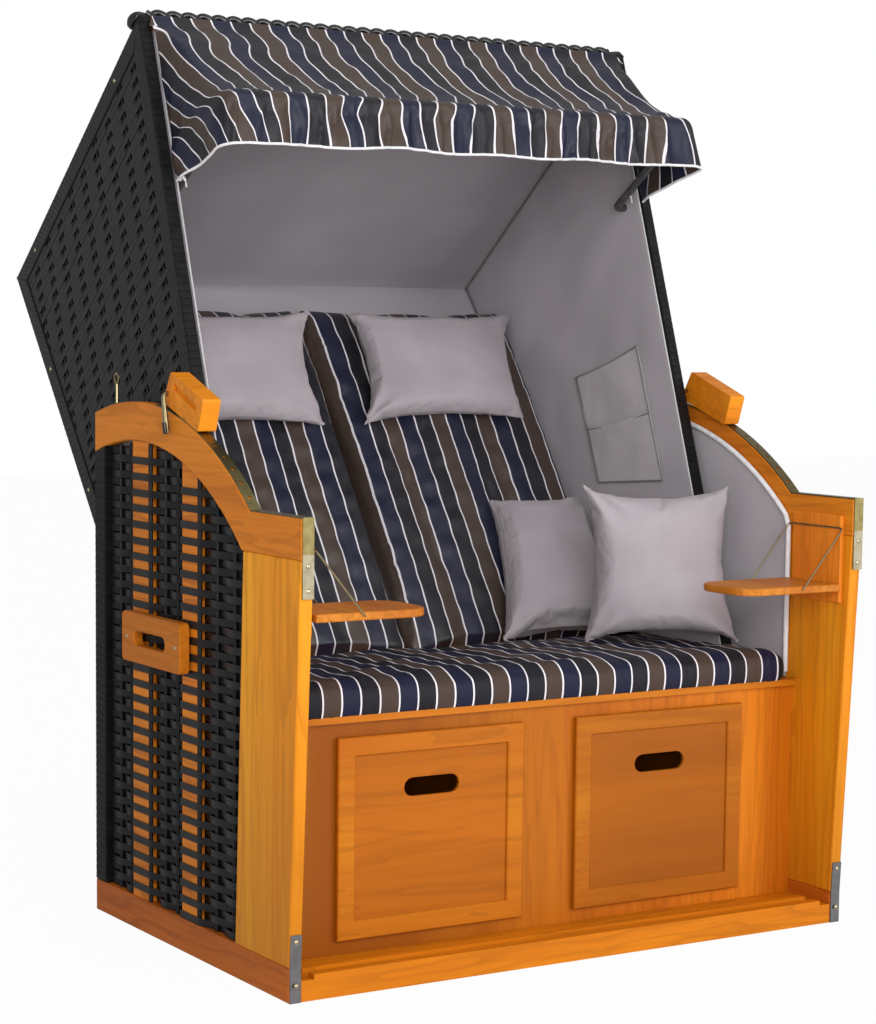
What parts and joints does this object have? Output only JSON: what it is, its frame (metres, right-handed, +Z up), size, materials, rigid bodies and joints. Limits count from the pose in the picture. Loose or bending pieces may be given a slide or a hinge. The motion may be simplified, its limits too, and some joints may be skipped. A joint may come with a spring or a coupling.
{
  "type": "hooded beach chair",
  "caption": "Hooded wicker beach chair: wooden base with curved arms, tilting woven hood with awning, striped cushions, pull-out footrests and folding side tables.",
  "frame": {"origin": "centre of the base footprint, on the floor", "axes": "+Z up, -Y towards the front of the seat, +X to the right as seen from the front"},
  "size_m": [1.2386, 1.3293, 1.7119],
  "materials": {
    "pine": "satin glaze",
    "weave": "woven strip",
    "rope": "plaited strip",
    "striped_fabric": "matt",
    "grey_fabric": "matt",
    "lining": "matt",
    "latch_metal": "dull",
    "steel": "satin"
  },
  "bodies": {
    "base": {"side_rail_left": "pine", "front_post_left": "pine", "rear_post_left": "weave", "arm_rail_left": "pine", "side_weave_left": "weave", "carry_handle_left": "pine", "latch_strip_left": "latch_metal", "corner_strap_left": "steel", "ring_bolt_left": "steel", "pivot_bolt_left": "steel", "base_lining_left": "lining", "table_plate_left": "pine", "side_rail_right": "pine", "front_post_right": "pine", "rear_post_right": "weave", "arm_rail_right": "pine", "side_weave_right": "weave", "carry_handle_right": "pine", "latch_strip_right": "latch_metal", "corner_strap_right": "steel", "ring_bolt_right": "steel", "pivot_bolt_right": "steel", "base_lining_right": "lining", "table_plate_right": "pine", "front_rail": "pine", "floor_board": "pine", "rear_panel": "weave", "apron_panel": "pine", "seat_board": "pine", "seat_cushion": "striped_fabric", "scatter_pillow_front": "grey_fabric", "scatter_pillow_rear": "grey_fabric"},
    "hood": {"hood_side_left": "weave", "hood_side_lining_left": "lining", "back_cushion_left": "striped_fabric", "neck_pillow_left": "grey_fabric", "guide_rod_left": "steel", "hood_side_right": "weave", "hood_side_lining_right": "lining", "back_cushion_right": "striped_fabric", "neck_pillow_right": "grey_fabric", "guide_rod_right": "steel", "hood_top_rail": "pine", "hood_roof_weave": "weave", "hood_back_weave": "weave", "hood_lining": "lining", "hood_braid": "rope", "side_pocket": "lining", "awning_cloth": "striped_fabric"},
    "awning": {"awning_bow": "steel"},
    "footrest_left": {"footrest_left": "pine", "foot_cushion_left": "striped_fabric"},
    "shelf_left": {"table_shelf_left": "pine"},
    "stay_left": {"table_stay_left": "steel"},
    "lock_left": {"lock_handle_left": "pine"},
    "footrest_right": {"footrest_right": "pine", "foot_cushion_right": "striped_fabric"},
    "shelf_right": {"table_shelf_right": "pine"},
    "stay_right": {"table_stay_right": "steel"},
    "lock_right": {"lock_handle_right": "pine"}
  },
  "joints": [
    {"name": "hood_tilt", "type": "hinge", "parent": "base", "child": "hood", "pos_m": [0, 0.2075, 0.3], "axis": [-1, 0, 0], "range_deg": [-18.5, 16], "deforming": ["scatter_pillow_front", "scatter_pillow_rear"]},
    {"name": "lock_lift_left", "type": "hinge", "parent": "hood", "child": "lock_left", "pos_m": [-0.5825, 0.0735, 1.006], "axis": [-1, 0, 0], "range_deg": [0, 60]},
    {"name": "lock_lift_right", "type": "hinge", "parent": "hood", "child": "lock_right", "pos_m": [0.5825, 0.0735, 1.006], "axis": [-1, 0, 0], "range_deg": [0, 60]},
    {"name": "awning_lift", "type": "hinge", "parent": "hood", "child": "awning", "pos_m": [0, 0.2405, 1.379], "axis": [-1, 0, 0], "range_deg": [0, 45], "deforming": ["awning_cloth"]},
    {"name": "footrest_slide_left", "type": "slide", "parent": "base", "child": "footrest_left", "axis": [0, -1, 0], "range_m": [0, 0.42]},
    {"name": "footrest_slide_right", "type": "slide", "parent": "base", "child": "footrest_right", "axis": [0, -1, 0], "range_m": [0, 0.42]},
    {"name": "table_fold_left", "type": "hinge", "parent": "base", "child": "shelf_left", "pos_m": [-0.5655, -0.3375, 0.656], "axis": [0, -1, 0], "range_deg": [0, 85]},
    {"name": "table_fold_right", "type": "hinge", "parent": "base", "child": "shelf_right", "pos_m": [0.5655, -0.3375, 0.656], "axis": [0, 1, 0], "range_deg": [0, 85]},
    {"name": "stay_swing_left", "type": "hinge", "parent": "base", "child": "stay_left", "pos_m": [-0.56445, -0.3375, 0.761], "axis": [0, 1, 0], "range_deg": [0, 40]},
    {"name": "stay_swing_right", "type": "hinge", "parent": "base", "child": "stay_right", "pos_m": [0.56445, -0.3375, 0.761], "axis": [0, -1, 0], "range_deg": [0, 40]}
  ],
  "couplings": [
    {"joint": "stay_swing_left", "follows": "table_fold_left", "ratio": 0.447},
    {"joint": "stay_swing_right", "follows": "table_fold_right", "ratio": 0.447}
  ]
}
